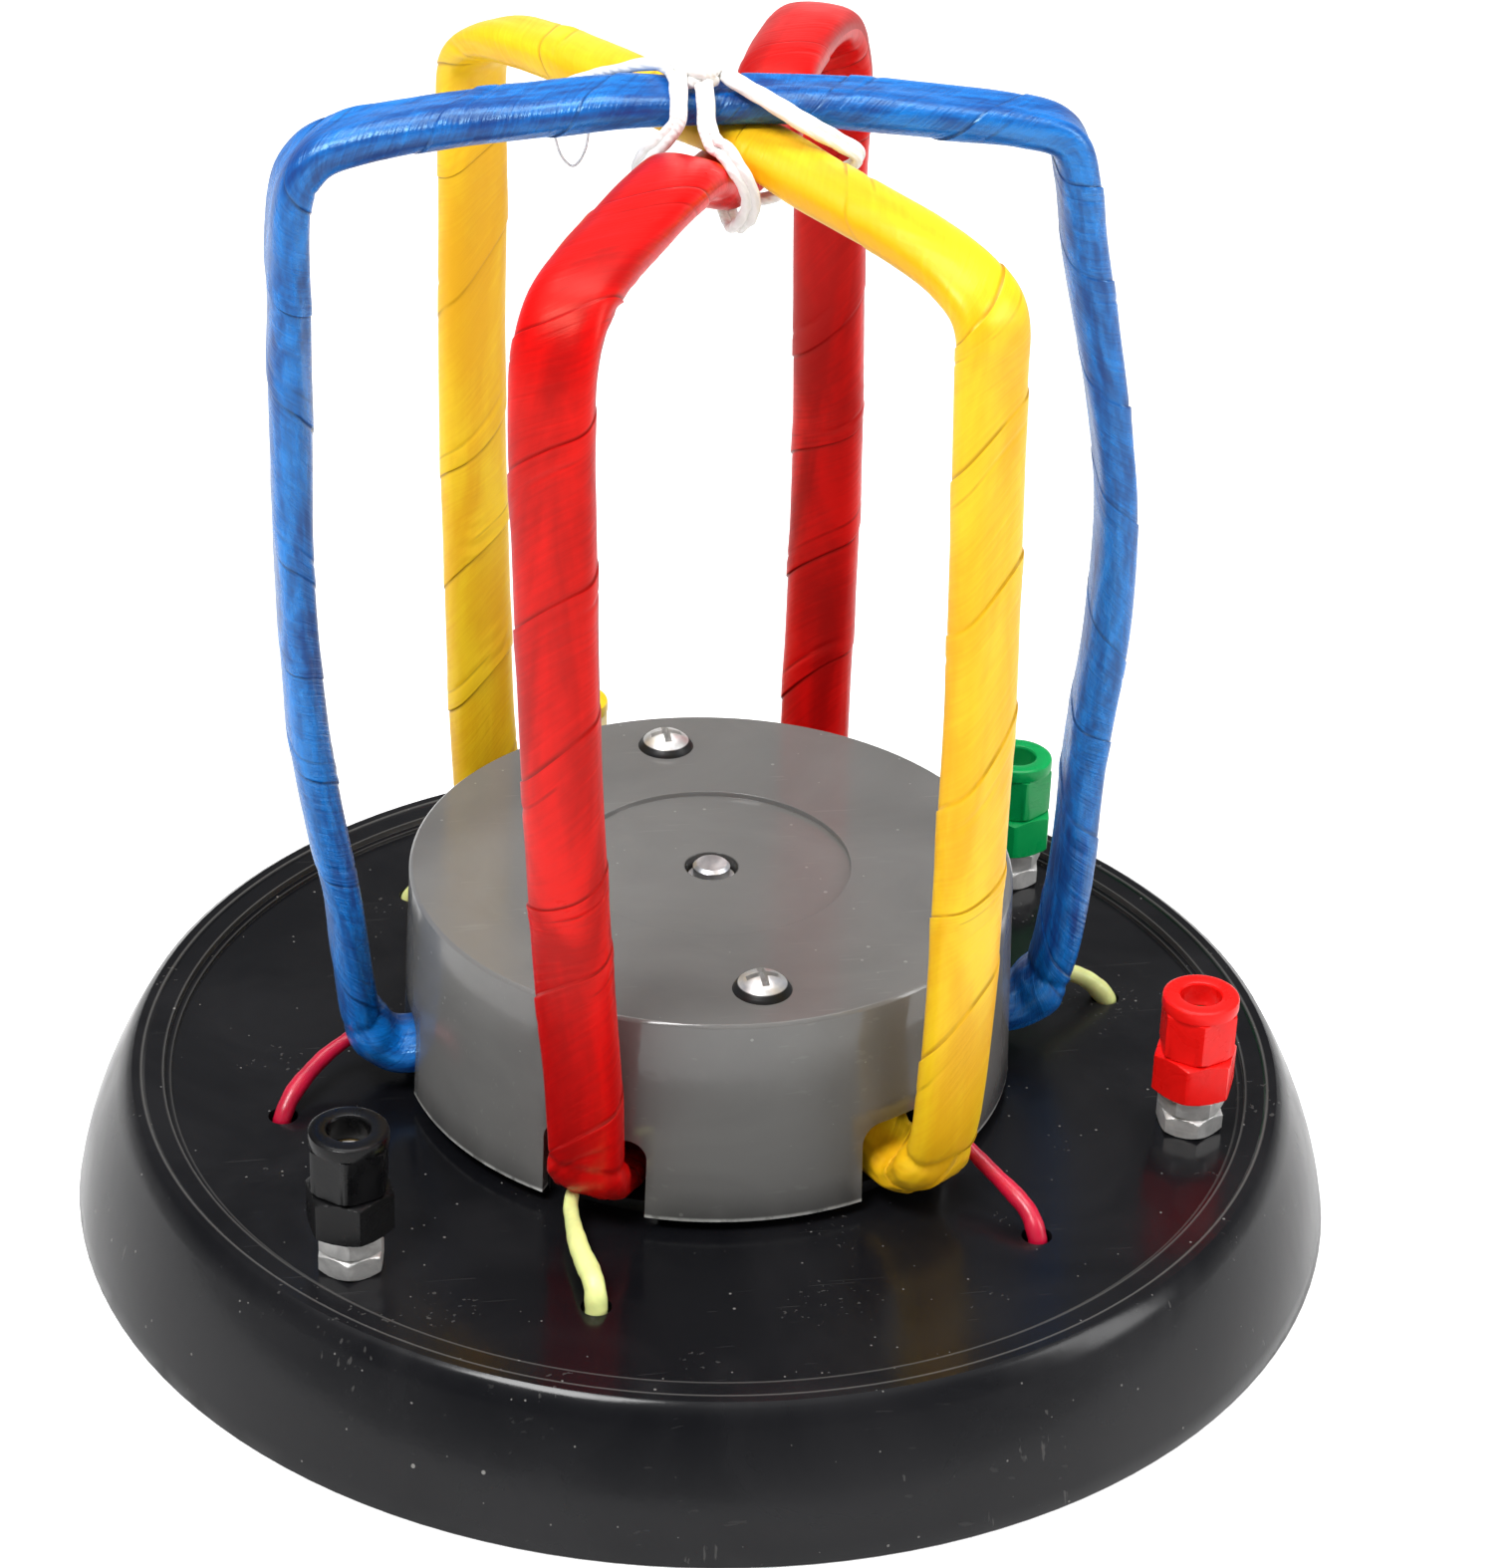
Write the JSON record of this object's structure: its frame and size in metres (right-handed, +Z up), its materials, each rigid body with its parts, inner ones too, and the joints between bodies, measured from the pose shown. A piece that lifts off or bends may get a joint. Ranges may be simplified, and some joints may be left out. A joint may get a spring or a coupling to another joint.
{
  "type": "three-phase motor demonstrator",
  "caption": "Bench model of a turning field: ribbon-wrapped coils crossed over a cup on a round base, with binding posts round the deck and a spindle for a rotor.",
  "frame": {"origin": "centre of the foot", "axes": "+Z up along the spindle, +X along the blue coil towards the right-hand leg seen from the front"},
  "size_m": [0.2, 0.2, 0.1866],
  "materials": {
    "base": "glossy black moulding with fine dust and scuffs",
    "cover": "matt black sheet",
    "cup": "glossy mid-grey moulding",
    "steel": "plated steel",
    "nickel": "bright nickel plate",
    "spindle": "bright ground steel",
    "spring_steel": "dark spring steel",
    "brass": "turned brass",
    "copper": null,
    "red_ribbon": "shiny satin ribbon",
    "yellow_ribbon": "shiny satin ribbon",
    "blue_ribbon": "shiny satin ribbon",
    "pink_sleeve": "soft glossy sleeving",
    "pale_sleeve": "soft sleeving",
    "string": "soft white string",
    "tinned": "tinned tag",
    "red_plastic": "glossy red plastic",
    "green_plastic": "glossy green plastic",
    "yellow_plastic": "glossy yellow plastic",
    "black_plastic": "glossy black plastic"
  },
  "bodies": {
    "base": {"base_housing": "base", "bottom_cover": "cover", "cover_screws": "steel", "coil_cup": "cup", "cup_screws": "steel", "cup_nuts": "steel", "spindle_bush": "brass", "red_winding": "copper", "yellow_winding": "copper", "blue_winding": "copper", "red_wrap": "red_ribbon", "yellow_wrap": "yellow_ribbon", "blue_wrap": "blue_ribbon", "red_lead_start": "pink_sleeve", "red_lead_end": "pale_sleeve", "yellow_lead_start": "pink_sleeve", "yellow_lead_end": "pale_sleeve", "blue_lead_start": "pink_sleeve", "blue_lead_end": "pale_sleeve", "string_tie": "string", "red_post_stud": "nickel", "red_post_nuts": "nickel", "red_post_collar": "red_plastic", "red_post_backnut": "steel", "red_post_lug": "tinned", "green_post_stud": "nickel", "green_post_nuts": "nickel", "green_post_collar": "green_plastic", "green_post_backnut": "steel", "green_post_lug": "tinned", "yellow_post_stud": "nickel", "yellow_post_nuts": "nickel", "yellow_post_collar": "yellow_plastic", "yellow_post_backnut": "steel", "yellow_post_lug": "tinned", "black_post_stud": "nickel", "black_post_nuts": "nickel", "black_post_collar": "black_plastic", "black_post_backnut": "steel", "black_post_lug": "tinned"},
    "spindle_body": {"spindle": "spindle", "spindle_clip": "spring_steel"},
    "red_washer_body": {"red_post_clamp": "nickel"},
    "red_cap_body": {"red_post_cap": "red_plastic", "red_post_insert": "brass"},
    "green_washer_body": {"green_post_clamp": "nickel"},
    "green_cap_body": {"green_post_cap": "green_plastic", "green_post_insert": "brass"},
    "yellow_washer_body": {"yellow_post_clamp": "nickel"},
    "yellow_cap_body": {"yellow_post_cap": "yellow_plastic", "yellow_post_insert": "brass"},
    "black_washer_body": {"black_post_clamp": "nickel"},
    "black_cap_body": {"black_post_cap": "black_plastic", "black_post_insert": "brass"}
  },
  "joints": [
    {"name": "spindle_turn", "type": "hinge", "parent": "base", "child": "spindle_body", "pos_m": [0, 0, 0.05], "axis": [0, 0, 1], "continuous": true},
    {"name": "red_washer_lift", "type": "slide", "parent": "base", "child": "red_washer_body", "axis": [0, 0, 1], "range_m": [0, 0.004]},
    {"name": "red_cap_turn", "type": "hinge", "parent": "red_washer_body", "child": "red_cap_body", "pos_m": [0.07216, -0.02828, 0.038], "axis": [0, 0, 1], "range_deg": [0, 1440]},
    {"name": "green_washer_lift", "type": "slide", "parent": "base", "child": "green_washer_body", "axis": [0, 0, 1], "range_m": [0, 0.004]},
    {"name": "green_cap_turn", "type": "hinge", "parent": "green_washer_body", "child": "green_cap_body", "pos_m": [0.06057, 0.04835, 0.038], "axis": [0, 0, 1], "range_deg": [0, 1440]},
    {"name": "yellow_washer_lift", "type": "slide", "parent": "base", "child": "yellow_washer_body", "axis": [0, 0, 1], "range_m": [0, 0.004]},
    {"name": "yellow_cap_turn", "type": "hinge", "parent": "yellow_washer_body", "child": "yellow_cap_body", "pos_m": [-0.01159, 0.07663, 0.038], "axis": [0, 0, 1], "range_deg": [0, 1440]},
    {"name": "black_washer_lift", "type": "slide", "parent": "base", "child": "black_washer_body", "axis": [0, 0, 1], "range_m": [0, 0.004]},
    {"name": "black_cap_turn", "type": "hinge", "parent": "black_washer_body", "child": "black_cap_body", "pos_m": [-0.06057, -0.04835, 0.038], "axis": [0, 0, 1], "range_deg": [0, 1440]}
  ],
  "couplings": [
    {"joint": "red_cap_turn", "follows": "red_washer_lift", "rad_per_m": 6283.2},
    {"joint": "green_cap_turn", "follows": "green_washer_lift", "rad_per_m": 6283.2},
    {"joint": "yellow_cap_turn", "follows": "yellow_washer_lift", "rad_per_m": 6283.2},
    {"joint": "black_cap_turn", "follows": "black_washer_lift", "rad_per_m": 6283.2}
  ]
}
